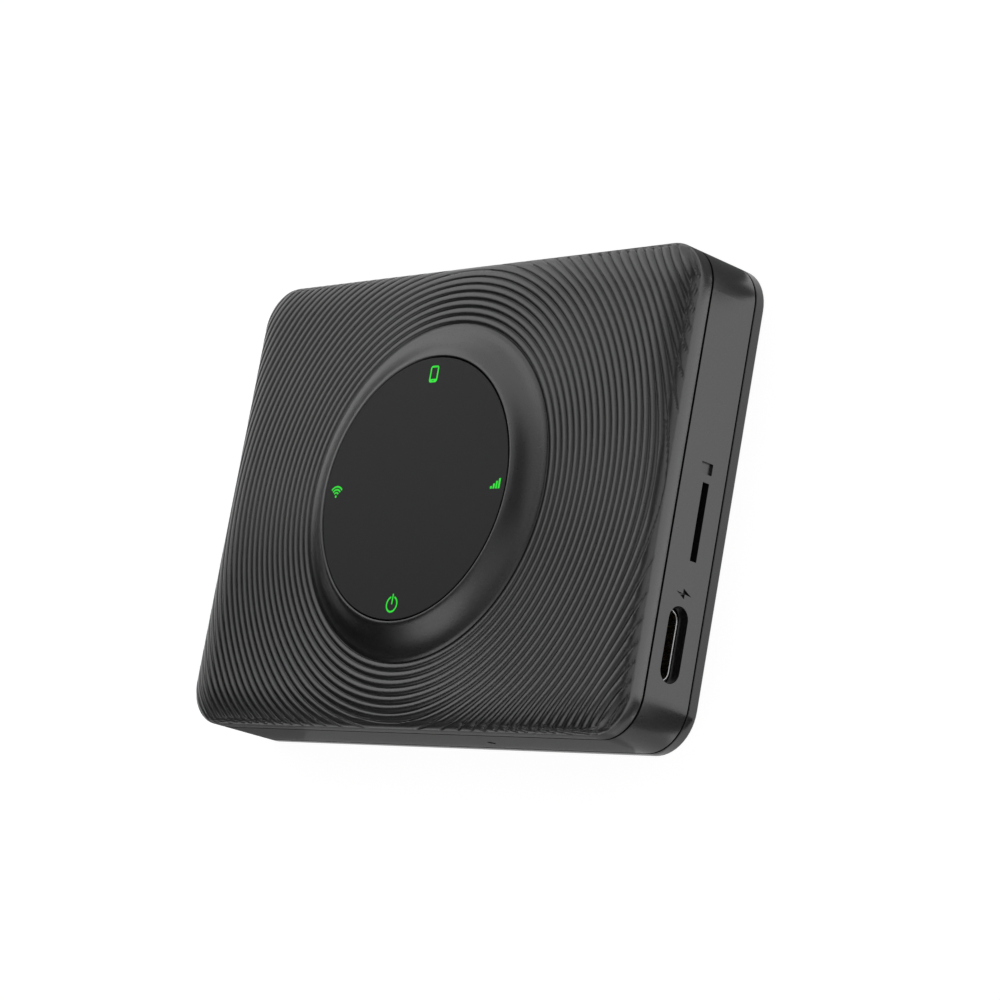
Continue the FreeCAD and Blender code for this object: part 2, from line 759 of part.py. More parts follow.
def keyCap(windows):
    body = doc.addObject("PartDesign::Body", "CapDisc")
    disc = pad(body, circleSketch(body, "CapOutline", ["keyRadius"], capBottom), "capThick")
    dress(body, "Fillet", disc, "Radius", "capEdge",
          lambda edge: abs(edge.BoundBox.ZMin - size["ringTop"]) < tiny)
    return node(cut("KeyCap", body, windows), "key_cap")


def guideBoxes(name, bottom, height):
    return [box(f"{name}{i}", "guideSide", "guideSide", height, x, y, bottom)
            for i, (x, y) in enumerate(lampPlaces)]


def keyCarrier():
    # web under the cap, a skirt that runs in the ring, a flange that stops it, and the pusher
    body = doc.addObject("PartDesign::Body", "CarrierBody")
    pad(body, circleSketch(body, "CarrierWeb", ["keyRadius"], webBottom), "webThick")
    pad(body, circleSketch(body, "CarrierSkirt", ["keyRadius", "keyRadius - skirtThick"],
                           f"{flangeTop} - flangeThick"), f"{webBottom} - {flangeTop} + flangeThick + 0.1")
    pad(body, circleSketch(body, "CarrierFlange", ["keyRadius + flangeReach", "keyRadius - skirtThick"],
                           f"{flangeTop} - flangeThick"), "flangeThick")
    pusherBottom = "keyBoardTop + switchHeight + plungerHeight + keyClear / 2"
    pusher = cylinder("Pusher", "postRadius", f"{webBottom} + 0.1 - ({pusherBottom})", "0", "0", pusherBottom)
    carrier = fuse("CarrierSolid", [body, pusher])
    return node(cut("KeyCarrier", carrier, guideBoxes("GuideHole", webBottom, "webThick")), "key_carrier")


def lightGuides():
    guides = guideBoxes("Guide", f"{capBottom} - guideLength", "guideLength")
    node(group("LightGuides", guides), "light_guides")


def keyBoard():
    body = doc.addObject("PartDesign::Body", "KeyBoardDisc")
    pad(body, circleSketch(body, "KeyBoardOutline", ["keyRadius + keyBoardReach"], "keyBoardTop - keyBoardThick"),
        "keyBoardThick")
    holes = [cylinder(f"MountHole{i}", "smallScrewRadius + screwClear", "keyBoardThick + 2", x, y,
                      "keyBoardTop - keyBoardThick - 1") for i, (x, y) in enumerate(mountPlaces)]
    node(cut("KeyBoard", body, holes), "key_board")
    screws = []
    under = "keyBoardTop - keyBoardThick"
    for i, (x, y) in enumerate(mountPlaces):
        head = cylinder(f"SmallHead{i}", "smallHeadRadius", "smallHeadThick", x, y,
                        f"{under} - smallHeadThick")
        shank = cylinder(f"SmallShank{i}", "smallScrewRadius", "smallScrewLength", x, y, f"{under} - 0.1")
        screws.append(fuse(f"SmallScrew{i}", [head, shank]))
    node(group("KeyBoardScrews", screws), "key_board_screws")
    lamps = [box(f"Lamp{i}", "lampWidth", "lampLength", "lampHeight", x, y, "keyBoardTop")
             for i, (x, y) in enumerate(lampPlaces)]
    node(group("KeyLamps", lamps), "key_lamps")


def keySwitch():
    case = box("SwitchCase", "switchSide", "switchSide", "switchHeight", "0", "0", "keyBoardTop")
    bottom = "keyBoardTop + switchHeight - plungerDepth"
    well = cylinder("SwitchWell", "plungerRadius + keyClear", "plungerDepth + keyTravel + 1", "0", "0",
                    f"{bottom} - keyTravel - keyClear")
    node(cut("KeySwitch", case, [well]), "key_switch")
    plunger = cylinder("KeyPlunger", "plungerRadius", "plungerDepth + plungerHeight", "0", "0", bottom)
    node(plunger, "key_plunger")


# main board

def mainBoard():
    body, _ = slab("BoardPlate", boardLength, boardWidth, "boardThick", "boardCorner", "boardBottom")
    holes = [cylinder(f"BoardHole{i}", "screwRadius + screwClear", "boardThick + 2", x, y, "boardBottom - 1")
             for i, (x, y) in enumerate(cornerPlaces)]
    node(cut("MainBoard", body, holes), "main_board")


def usbReceptacle():
    back = f"{usbFront} - usbDepth"
    tube = stadium("UsbOuter", "usbLength", "usbHeight", "usbDepth", back, "usbPlace", usbMiddle)
    bore = stadium("UsbBore", "(usbLength - 2 * usbWall)", "(usbHeight - 2 * usbWall)", "usbDepth + 2",
                   f"{back} - 1", "usbPlace", usbMiddle)
    sleeve = cut("UsbSleeve", tube, [bore])
    doc.recompute()
    front = size["caseLength"] / 2 - size["wall"] - size["portClear"]
    rim = doc.addObject("Part::Fillet", "UsbShell")
    rim.Base = sleeve
    rim.Edges = [(i, size["usbEdge"], size["usbEdge"]) for i, edge in enumerate(sleeve.Shape.Edges, start=1)
                 if abs(edge.BoundBox.XMin - front) < tiny]
    node(rim, "usb_shell")
    block = stadium("UsbBlock", "(usbLength - 2 * usbWall)", "(usbHeight - 2 * usbWall)", "usbBlock",
                    back, "usbPlace", usbMiddle)
    reach = "usbDepth - tongueBack - usbBlock + 0.1"
    tongue = box("UsbTongue", reach, "tongueWidth", "tongueThick",
                 f"{usbFront} - tongueBack - ({reach}) / 2", "usbPlace", f"{usbMiddle} - tongueThick / 2")
    node(fuse("UsbInsulator", [block, tongue]), "usb_insulator")
    pads = []
    for side, z in (("Upper", f"{usbMiddle} + tongueThick / 2"),
                    ("Lower", f"{usbMiddle} - tongueThick / 2 - padThick")):
        for k in range(12):
            pads.append(box(f"UsbPad{side}{k}", "padLength", "padWidth", "padThick",
                            f"{usbFront} - tongueBack - padLength / 2 - 0.5",
                            f"usbPlace + padPitch * {k - 5.5}", z))
    node(group("UsbContacts", pads), "usb_contacts")


def simReader():
    middle = f"{readerFront} - readerDepth / 2"
    inside = "readerWidth - 2 * sheetThick"
    base = box("ReaderFloor", "readerDepth", inside, "readerFloor", middle, "readerPlace", boardTop)
    stop = box("ReaderBack", "2 * sheetThick", inside, "readerHeight - sheetThick",
               f"{readerBack} + sheetThick", "readerPlace", boardTop)
    node(fuse("SimBase", [base, stop]), "sim_base")
    cover = box("CoverBlock", "readerDepth", "readerWidth", "readerHeight", middle, "readerPlace", boardTop)
    room = box("CoverRoom", "readerDepth + 2", inside, "readerHeight - sheetThick + 1", middle, "readerPlace",
               f"{boardTop} - 1")
    node(cut("SimCover", cover, [room]), "sim_cover")
    floor = f"{boardTop} + readerFloor"
    blades = [box(f"SimBlade{i}{k}", "bladeLength", "bladeWidth", "bladeThick",
                  f"{readerBack} + bladeStart + {i} * bladeStep", f"slotPlace + {k - 1} * bladePitch", floor)
              for i in range(2) for k in range(3)]
    node(group("SimContacts", blades), "sim_contacts")
    railY = "readerPlace + readerWidth / 2 - sheetThick - 0.1 - sliderWidth / 2"
    start = f"{readerBack} + 2 * sheetThick + springLength"
    rail = box("SliderRail", "sliderLength", "sliderWidth", "sliderHeight", f"{start} + sliderLength / 2",
               railY, f"{floor} + keyClear")
    toe = box("SliderToe", "toeThick", "toeLength", "sliderHeight - 0.3", f"{start} + toeThick / 2",
              f"{railY} + sliderWidth / 2 - toeLength / 2", f"{floor} + keyClear + 0.25")
    node(fuse("SimSlider", [rail, toe]), "sim_slider")
    simSpring()


def simSpring():
    # a coil between the reader's back wall and the slider
    turns, length, wire = size["springTurns"], size["springLength"], size["springWire"]
    radius = size["springRadius"]
    gap = size["keyClear"]
    rise = length - 2 * wire - 2 * gap
    helix = Part.makeHelix(rise / turns, rise, radius)
    section = Part.Wire(Part.makeCircle(wire, Vector(radius, 0, 0), Vector(0, 1, 0)))
    coil = Part.Wire(helix).makePipeShell([section], True, True)
    item = doc.addObject("Part::Feature", "SimSpring")
    item.Shape = coil
    back = size["caseLength"] / 2 - size["wall"] - size["readerInset"] - size["readerDepth"]
    railY = (size["readerPlace"] + size["readerWidth"] / 2 - size["sheetThick"] - 0.1 - size["sliderWidth"] / 2)
    height = (size["boardBottom"] + size["boardThick"] + size["readerFloor"] + size["keyClear"]
              + size["sliderHeight"] / 2)
    item.Placement = FreeCAD.Placement(Vector(back + 2 * size["sheetThick"] + wire + gap, railY, height),
                                       FreeCAD.Rotation(Vector(0, 1, 0), 90))
    node(item, "sim_spring")


def resetSwitch():
    middle = f"-{resetFace} + resetDepth / 2"
    case = box("ResetCase", "resetWidth", "resetDepth", "resetTall", "resetPlace", middle, boardTop)
    well = box("ResetWell", "stemWidth + 2 * stemClear", "stemInside + stemTravel + 2 * stemClear + 1",
               "stemTall + 2 * stemClear", "resetPlace",
               f"-{resetFace} + (stemInside + stemTravel + 2 * stemClear - 1) / 2",
               "resetHeight - stemTall / 2 - stemClear")
    node(cut("ResetSwitch", case, [well]), "reset_switch")
    stem = box("ResetPlunger", "stemWidth", "stemInside + stemReach", "stemTall", "resetPlace",
               f"-{resetFace} + (stemInside - stemReach) / 2", "resetHeight - stemTall / 2")
    node(stem, "reset_plunger")


def shield(name, label, length, width, x, y):
    can = box(name + "Can", length, width, "shieldHeight", x, y, boardTop)
    room = box(name + "Room", f"{length} - 2 * sheetThick", f"{width} - 2 * sheetThick",
               "shieldHeight - sheetThick + 1", x, y, f"{boardTop} - 1")
    node(cut(name, can, [room]), label)


def chips():
    shield("ModemShield", "modem_shield", "modemLength", "modemWidth", "modemPlace", "modemAside")
    shield("RadioShield", "radio_shield", "radioLength", "radioWidth", "modemPlace", "radioAside")
    node(box("ModemChip", "modemChip", "modemChip", "chipHeight", "modemPlace", "modemAside", boardTop),
         "modem_chip")
    node(box("RadioChip", "radioChip", "radioChip", "chipHeight", "modemPlace", "radioAside", boardTop),
         "radio_chip")
    node(box("MemoryChip", "memoryLength", "memoryWidth", "chipHeight", "memoryPlace", "memoryAside",
             boardTop), "memory_chip")
    node(box("PowerChip", "powerChip", "powerChip", "chipHeight", "powerPlace", "powerAside", boardTop),
         "power_chip")
    small = [box(f"Capacitor{i}{k}", "capacitorLength", "capacitorSide", "capacitorSide",
                 f"powerPlace + capacitorReach + {i} * capacitorStep", f"powerAside + {k - 2} * capacitorPitch",
                 boardTop) for i in range(2) for k in range(5)]
    node(group("Capacitors", small), "capacitors")
    coils = [box(f"Inductor{k}", "inductorLength", "inductorWidth", "inductorHeight",
                 "powerPlace - inductorReach", f"powerAside + {k - 1} * inductorPitch", boardTop)
             for k in range(3)]
    node(group("Inductors", coils), "inductors")


# battery

def battery():
    length, width = "batteryLength", "batteryWidth"
    body, last = slab("Pouch", length, width, "batteryThick", "batteryCorner", batteryBottom)
    rim = size["boardBottom"] + size["boardThick"] + size["shieldHeight"] + size["tapeThick"]
    rims = (rim, rim + size["batteryThick"])
    dress(body, "Fillet", last, "Radius", "batteryCorner / 2", lambda edge: edge.BoundBox.ZLength < tiny
          and any(abs(edge.BoundBox.ZMin - z) < tiny for z in rims))
    move(body, "batteryPlace")
    node(body, "battery")
    tape = box("BatteryTape", "tapeLength", "tapeWidth", "tapeThick", "tapePlace", "0",
               f"{batteryBottom} - tapeThick")
    node(tape, "battery_tape")
    end = "batteryPlace + batteryLength / 2"
    middle = f"{batteryBottom} + (batteryThick - circuitHeight) / 2"
    node(box("BatteryCircuit", "circuitThick", "circuitLength", "circuitHeight", f"{end} + circuitThick / 2",
             "0", middle), "battery_circuit")
    node(box("BatterySocket", "socketLength", "socketWidth", "socketHeight", "socketPlace", "socketAside",
             boardTop), "battery_socket")
    node(box("BatteryPlug", "socketLength - 2 * plugInset", "socketWidth - 2 * plugInset", "plugHeight",
             "socketPlace", "socketAside", f"{boardTop} + socketHeight"), "battery_plug")
    batteryLeads()


def batteryLeads():
    # three wires from the circuit's face over to the plug's top
    start = size["batteryPlace"] + size["batteryLength"] / 2 + size["circuitThick"]
    bottom = size["boardBottom"] + size["boardThick"]
    plugTop = bottom + size["socketHeight"] + size["plugHeight"]
    startHeight = bottom + size["shieldHeight"] + size["tapeThick"] + size["batteryThick"] / 2
    leads = []
    for k in (-1, 0, 1):
        shift = size["leadPitch"] * k
        aside = size["leadAside"] + shift
        points = [Vector(start, aside, startHeight),
                  Vector(start + size["leadRun"], aside, startHeight + size["leadRadius"]),
                  Vector(size["socketPlace"] - 0.2, size["socketAside"] + shift, plugTop + size["leadArch"]),
                  Vector(size["socketPlace"], size["socketAside"] + shift, plugTop)]
        curve = Part.BSplineCurve()
        curve.interpolate(points, InitialTangent=Vector(1, 0, 0), FinalTangent=Vector(0, 0, -1))
        path = Part.Wire(curve.toShape())
        section = Part.Wire(Part.makeCircle(size["leadRadius"], points[0], Vector(1, 0, 0)))
        leads.append(path.makePipeShell([section], True, False))
    item = doc.addObject("Part::Feature", "BatteryLeads")
    item.Shape = Part.makeCompound(leads)
    item.Placement = FreeCAD.Placement()
    node(item, "battery_leads")


# ribbon, antennas, heat spreader

def ribbon():
    # down from the key board's under side to its clamp on the main board
    under = "keyBoardTop - keyBoardThick"
    low = f"{boardTop} + clampHeight"
    top = box("RibbonTop", "ribbonFar - ribbonStart", "ribbonWidth", "ribbonThick",
              "(ribbonFar + ribbonStart) / 2", "0", f"{under} - ribbonThick")
    drop = box("RibbonDrop", "ribbonThick", "ribbonWidth", f"{under} - ({low})",
               "ribbonFar - ribbonThick / 2", "0", low)
    foot = box("RibbonFoot", "ribbonFar - ribbonEnd + clampLength", "ribbonWidth", "ribbonThick",
               "(ribbonFar + ribbonEnd - clampLength) / 2", "0", low)
    node(fuse("Ribbon", [top, drop, foot]), "ribbon_cable")
    node(box("RibbonClamp", "clampLength", "clampWidth", "clampHeight", "ribbonEnd - clampLength / 2", "0",
             boardTop), "ribbon_clamp")


def antennas():
    wallX = "caseLength / 2 - wall - antennaThick / 2"
    wallY = "caseWidth / 2 - wall - antennaThick / 2"
    for name, label, length, width, x, y in (
            ("CellAntennaMain", "cell_antenna_main", "antennaThick", "cellMainLength", f"-({wallX})", "0"),
            ("CellAntennaSecond", "cell_antenna_second", "antennaThick", "cellSecondLength", wallX,
             "cellSecondAside"),
            ("WifiAntennaUpper", "wifi_antenna_upper", "wifiLength", "antennaThick", "wifiUpperPlace", wallY),
            ("WifiAntennaLower", "wifi_antenna_lower", "wifiLength", "antennaThick", "wifiLowerPlace",
             f"-({wallY})")):
        node(box(name, length, width, "antennaTall", x, y, "antennaBottom"), label)
    antennaContacts()


def antennaContacts():
    # a foot on the board, a riser and an arm that reaches the antenna
    board = size["boardBottom"] + size["boardThick"]
    thick, width = size["sheetThick"], size["contactWidth"]
    footLength, armLength = size["contactFoot"], size["contactArm"]
    armHeight = size["antennaBottom"] + 0.5 - board
    solids = []
    reachX = size["caseLength"] / 2 - size["wall"] - size["antennaThick"]
    reachY = size["caseWidth"] / 2 - size["wall"] - size["antennaThick"]
    places = ((reachX, "contactMainAside", 180), (reachX, "contactSecondAside", 0),
              (reachY, "contactUpperAside", 90), (reachY, "contactLowerAside", 270))
    for reach, aside, turn in places:
        start = Vector(reach - armLength, -width / 2, 0)
        foot = Part.makeBox(footLength, width, thick, start)
        riser = Part.makeBox(thick, width, armHeight, start)
        arm = Part.makeBox(armLength, width, thick, start + Vector(0, 0, armHeight - thick))
        contact = foot.fuse([riser, arm]).removeSplitter()
        contact.translate(Vector(0, size[aside], board))
        contact.rotate(Vector(0, 0, 0), Vector(0, 0, 1), turn)
        solids.append(contact)
    item = doc.addObject("Part::Feature", "AntennaContacts")
    item.Shape = Part.makeCompound(solids)
    item.Placement = FreeCAD.Placement()
    node(item, "antenna_contacts")


def heatSpreader():
    node(box("HeatSpreader", "spreaderLength", "spreaderWidth", "spreaderThick", "0", "0", "backFloor"),
         "heat_spreader")


frontShell()
midFrame()
backCover()
caseScrews()
keyCap(icons())
keyCarrier()
lightGuides()
keyBoard()
keySwitch()
mainBoard()
usbReceptacle()
simReader()
resetSwitch()
chips()
battery()
ribbon()
antennas()
heatSpreader()
doc.recompute()

for item in doc.Objects:
    if "Invalid" in item.State or "Error" in item.State:
        raise RuntimeError(f"{item.Name} failed: {item.State}")
for item in nodes:
    if item.Shape.isNull() or not item.Shape.isValid():
        raise RuntimeError(f"{item.Label} has no valid shape")
for item in nodes:
    item.Shape.exportStep(f"parts/{item.Label}.step")
    print(item.Label, len(item.Shape.Solids), round(item.Shape.Volume, 3))
print(len(nodes), "sub-parts")
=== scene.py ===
import json
import math

import bpy
import numpy as np
from mathutils import Matrix, Vector


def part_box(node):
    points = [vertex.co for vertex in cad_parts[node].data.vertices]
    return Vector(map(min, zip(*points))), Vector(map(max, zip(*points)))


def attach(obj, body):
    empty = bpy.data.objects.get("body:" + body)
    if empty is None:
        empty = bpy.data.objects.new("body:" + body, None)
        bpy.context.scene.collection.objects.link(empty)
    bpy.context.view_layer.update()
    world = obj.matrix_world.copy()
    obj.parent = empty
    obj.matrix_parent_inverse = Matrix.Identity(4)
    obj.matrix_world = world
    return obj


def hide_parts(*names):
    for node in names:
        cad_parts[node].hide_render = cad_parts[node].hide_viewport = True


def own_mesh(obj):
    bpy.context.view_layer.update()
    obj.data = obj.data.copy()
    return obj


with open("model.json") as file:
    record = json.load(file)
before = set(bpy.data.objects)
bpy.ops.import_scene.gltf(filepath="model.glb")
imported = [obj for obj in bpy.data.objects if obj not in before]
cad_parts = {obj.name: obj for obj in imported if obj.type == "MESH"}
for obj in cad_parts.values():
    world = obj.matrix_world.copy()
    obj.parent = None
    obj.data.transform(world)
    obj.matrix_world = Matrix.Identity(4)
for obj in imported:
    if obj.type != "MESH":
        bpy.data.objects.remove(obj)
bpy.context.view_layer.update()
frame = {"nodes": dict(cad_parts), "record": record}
mm = 0.001
nodes = frame["nodes"]
print("frame loaded:", len(nodes), "nodes")


def boxOf(node):
    low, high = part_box(node)
    return np.array(low), np.array(high)


def meshPiece(name, points, faces, body):
    # points is (n, 3) in metres, faces is (m, 3) in indices; the object stays at the origin
    mesh = bpy.data.meshes.new(name)
    mesh.from_pydata(points.tolist(), [], faces.tolist())
    mesh.polygons.foreach_set("use_smooth", [True] * len(mesh.polygons))
    mesh.update()
    piece = bpy.data.objects.new(name, mesh)
    bpy.context.collection.objects.link(piece)
    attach(piece, body)
    return piece


def gridFaces(rows, columns):
    # quads of a rows x columns grid, closed both ways, whose index is row * columns + column
    r, c = np.meshgrid(np.arange(rows), np.arange(columns), indexing="ij")
    a = r * columns + c
    b = r * columns + (c + 1) % columns
    d = ((r + 1) % rows) * columns + c
    e = ((r + 1) % rows) * columns + (c + 1) % columns
    return np.stack([a, b, e, d], axis=-1).reshape(-1, 4)


def withoutSlivers(points, faces, tiny=1e-7):
    # merge points that coincide, split every quad in two and drop the triangles that vanish with them
    keys = np.round(points / tiny).astype(np.int64)
    _, first, same = np.unique(keys, axis=0, return_index=True, return_inverse=True)
    quads = same.reshape(-1)[faces]
    triangles = np.concatenate([quads[:, [0, 1, 2]], quads[:, [0, 2, 3]]])
    a, b, c = triangles.T
    return points[first], triangles[(a != b) & (b != c) & (c != a)]


def newMaterial(name, base, roughness, metallic=0.0, specular=0.5, ior=1.5):
    material = bpy.data.materials.new(name)
    material.use_nodes = True
    shader = material.node_tree.nodes["Principled BSDF"]
    shader.inputs["Base Color"].default_value = (*base, 1.0)
    shader.inputs["Roughness"].default_value = roughness
    shader.inputs["Metallic"].default_value = metallic
    shader.inputs["Specular IOR Level"].default_value = specular
    shader.inputs["IOR"].default_value = ior
    return material, shader


def addNode(material, kind, **sockets):
    node = material.node_tree.nodes.new(kind)
    for socket, value in sockets.items():
        node.inputs[socket].default_value = value
    return node


noiseMiddle = (0.3, 0.7)    # most of a noise's values lie between these


def objectNoise(material, scale, detail=3.0, stretch=(1.0, 1.0, 1.0)):
    # noise in the piece's own coordinates, in metres
    tree = material.node_tree
    place = tree.nodes.new("ShaderNodeTexCoord")
    turn = tree.nodes.new("ShaderNodeMapping")
    turn.inputs["Scale"].default_value = stretch
    noise = addNode(material, "ShaderNodeTexNoise", Scale=scale, Detail=detail, Roughness=0.6)
    tree.links.new(place.outputs["Object"], turn.inputs["Vector"])
    tree.links.new(turn.outputs["Vector"], noise.inputs["Vector"])
    return noise.outputs["Fac"]


def spread(material, factor, low, high):
    # maps the middle of a noise's values onto low to high
    reach = addNode(material, "ShaderNodeMapRange")
    reach.inputs["To Min"].default_value = low
    reach.inputs["To Max"].default_value = high
    reach.inputs["From Min"].default_value, reach.inputs["From Max"].default_value = noiseMiddle
    material.node_tree.links.new(factor, reach.inputs["Value"])
    return reach.outputs["Result"]


def tint(material, factor, dark, light):
    # two shades of a colour, mixed by a noise
    ramp = material.node_tree.nodes.new("ShaderNodeValToRGB")
    for stop, position, shade in zip(ramp.color_ramp.elements, noiseMiddle, (dark, light)):
        stop.position = position
        stop.color = (*shade, 1.0)
    material.node_tree.links.new(factor, ramp.inputs["Fac"])
    return ramp.outputs["Color"]


def addBump(material, shader, factor, height):
    bump = addNode(material, "ShaderNodeBump", Strength=1.0, Distance=height)
    material.node_tree.links.new(factor, bump.inputs["Height"])
    material.node_tree.links.new(bump.outputs["Normal"], shader.inputs["Normal"])


def grainedPlastic(name, look):
    # moulded plastic: fine spark-eroded grain in the bump, a slow drift in colour and gloss
    material, shader = newMaterial(name, look["base"], look["roughness"], specular=look["specular"],
                                   ior=look.get("ior", 1.5))
    links = material.node_tree.links
    drift = objectNoise(material, look["driftScale"])
    dark = tuple(c * (1 - look["drift"]) for c in look["base"])
    light = tuple(c * (1 + look["drift"]) for c in look["base"])
    links.new(tint(material, drift, dark, light), shader.inputs["Base Color"])
    grain = objectNoise(material, look["grainScale"], 2.0)
    links.new(spread(material, grain, look["roughness"] - look["uneven"], look["roughness"] + look["uneven"]),
              shader.inputs["Roughness"])
    addBump(material, shader, grain, look["grainHeight"])
    return material


metalUneven = {"shade": 0.85, "roughness": 0.08}


def rolledMetal(name, look):
    # sheet metal with fine rolling lines along one axis
    material, shader = newMaterial(name, look["base"], look["roughness"], 1.0)
    links = material.node_tree.links
    lines = objectNoise(material, look["lineScale"], 3.0, look["stretch"])
    dark = tuple(c * metalUneven["shade"] for c in look["base"])
    links.new(tint(material, lines, dark, look["base"]), shader.inputs["Base Color"])
    dull = metalUneven["roughness"]
    links.new(spread(material, lines, look["roughness"] - dull, look["roughness"] + dull),
              shader.inputs["Roughness"])
    addBump(material, shader, lines, look["lineHeight"])
    return material


def litPlastic(name, look):
    # translucent plastic lit from behind, a little brighter where the lamp is nearest
    material, shader = newMaterial(name, look["base"], look["roughness"])
    links = material.node_tree.links
    cloud = objectNoise(material, look["cloudScale"])
    links.new(tint(material, cloud, look["dim"], look["glow"]), shader.inputs["Emission Color"])
    shader.inputs["Emission Strength"].default_value = look["strength"]
    return material


caseLook = {"base": (0.009, 0.0091, 0.0096), "roughness": 0.31, "specular": 0.8, "ior": 1.65, "uneven": 0.04,
            "grainScale": 5200.0, "grainHeight": 0.000012, "driftScale": 60.0, "drift": 0.08}
capLook = {"base": (0.009, 0.0091, 0.0094), "roughness": 0.5, "specular": 0.38, "ior": 1.5, "uneven": 0.03,
           "grainScale": 7000.0, "grainHeight": 0.000006, "driftScale": 40.0, "drift": 0.05}
iconLook = {"base": (0.004, 0.10, 0.008), "roughness": 0.5, "cloudScale": 500.0,
            "dim": (0.004, 0.60, 0.010), "glow": (0.014, 0.78, 0.026), "strength": 1.0}
innerLook = {"base": (0.55, 0.54, 0.50), "roughness": 0.45, "specular": 0.5, "uneven": 0.05,
             "grainScale": 3000.0, "grainHeight": 0.00001, "driftScale": 80.0, "drift": 0.06}
clearLook = {"base": (0.75, 0.78, 0.78), "roughness": 0.3, "specular": 0.5, "uneven": 0.05,
             "grainScale": 2500.0, "grainHeight": 0.000008, "driftScale": 90.0, "drift": 0.05}
blackLook = {"base": (0.010, 0.010, 0.011), "roughness": 0.5, "specular": 0.4, "uneven": 0.06,
             "grainScale": 3500.0, "grainHeight": 0.00001, "driftScale": 90.0, "drift": 0.15}
boardLook = {"base": (0.008, 0.075, 0.035), "roughness": 0.35, "specular": 0.5, "uneven": 0.06,
             "grainScale": 2200.0, "grainHeight": 0.000015, "driftScale": 120.0, "drift": 0.2}
foilLook = {"base": (0.60, 0.61, 0.63), "roughness": 0.38, "lineScale": 700.0, "stretch": (1.0, 1.0, 1.0),
            "lineHeight": 0.00006}
steelLook = {"base": (0.62, 0.62, 0.63), "roughness": 0.30, "lineScale": 2600.0, "stretch": (1.0, 0.08, 1.0),
             "lineHeight": 0.000008}
rimLook = {"base": (0.78, 0.78, 0.79), "roughness": 0.22, "lineScale": 2600.0, "stretch": (0.08, 1.0, 1.0),
           "lineHeight": 0.000004}
goldLook = {"base": (0.83, 0.60, 0.24), "roughness": 0.28, "lineScale": 2600.0, "stretch": (0.1, 1.0, 1.0),
            "lineHeight": 0.000005}
tanLook = {"base": (0.40, 0.25, 0.13), "roughness": 0.5, "specular": 0.5, "uneven": 0.06,
           "grainScale": 5000.0, "grainHeight": 0.00001, "driftScale": 900.0, "drift": 0.15}
foamLook = {"base": (0.75, 0.75, 0.72), "roughness": 0.8, "specular": 0.3, "uneven": 0.05,
            "grainScale": 2500.0, "grainHeight": 0.00003, "driftScale": 150.0, "drift": 0.06}
redLook = {"base": (0.42, 0.012, 0.012), "roughness": 0.4, "specular": 0.5, "uneven": 0.05,
           "grainScale": 2500.0, "grainHeight": 0.00001, "driftScale": 200.0, "drift": 0.08}
amberLook = {"base": (0.42, 0.17, 0.02), "roughness": 0.3, "specular": 0.5, "uneven": 0.05,
             "grainScale": 2500.0, "grainHeight": 0.000006, "driftScale": 300.0, "drift": 0.2}
graphiteLook = {"base": (0.05, 0.05, 0.054), "roughness": 0.42, "specular": 0.6, "uneven": 0.08,
                "grainScale": 1500.0, "grainHeight": 0.00001, "driftScale": 150.0, "drift": 0.15}

casePlastic = grainedPlastic("casePlastic", caseLook)
# the back cover gets a shaded copy of the case plastic: its weaker gloss dims its reflections, painted shade
# standing for the darker floor beside it
shadedBackPlastic = grainedPlastic("shadedBackPlastic", {**caseLook, "specular": 0.5})
capPlastic = grainedPlastic("capPlastic", capLook)
iconPlastic = litPlastic("iconPlastic", iconLook)
innerPlastic = grainedPlastic("innerPlastic", innerLook)
clearPlastic = grainedPlastic("clearPlastic", clearLook)
blackPlastic = grainedPlastic("blackPlastic", blackLook)
boardMask = grainedPlastic("boardMask", boardLook)
pouchFoil = rolledMetal("pouchFoil", foilLook)
sheetSteel = rolledMetal("sheetSteel", steelLook)
portRim = rolledMetal("portRim", rimLook)
goldPlate = rolledMetal("goldPlate", goldLook)
firedCeramic = grainedPlastic("firedCeramic", tanLook)
whiteFoam = grainedPlastic("whiteFoam", foamLook)
redWire = grainedPlastic("redWire", redLook)
amberFilm = grainedPlastic("amberFilm", amberLook)
graphiteSheet = grainedPlastic("graphiteSheet", graphiteLook)

finishes = {
    "case_plastic": casePlastic, "smoked_plastic": capPlastic, "lit_icon": iconPlastic,
    "inner_plastic": innerPlastic, "clear_plastic": clearPlastic, "black_plastic": blackPlastic,
    "lamp_body": clearPlastic, "circuit_board": boardMask, "steel": sheetSteel, "stainless": sheetSteel,
    "gold": goldPlate, "ceramic_tan": firedCeramic, "ferrite": blackPlastic, "pouch_foil": pouchFoil,
    "foam": whiteFoam, "wire_red": redWire, "amber_film": amberFilm, "graphite": graphiteSheet,
}
ownFinishes = {"usb_shell": portRim, "back_cover": shadedBackPlastic}    # nodes that differ from their slot
for part in frame["record"]["subparts"]:
    obj = nodes[part["node"]]
    finish = ownFinishes.get(part["node"], finishes[part["material_slot"]])
    for slot in obj.material_slots:
        slot.material = finish
print("materials ready:", len(bpy.data.materials))


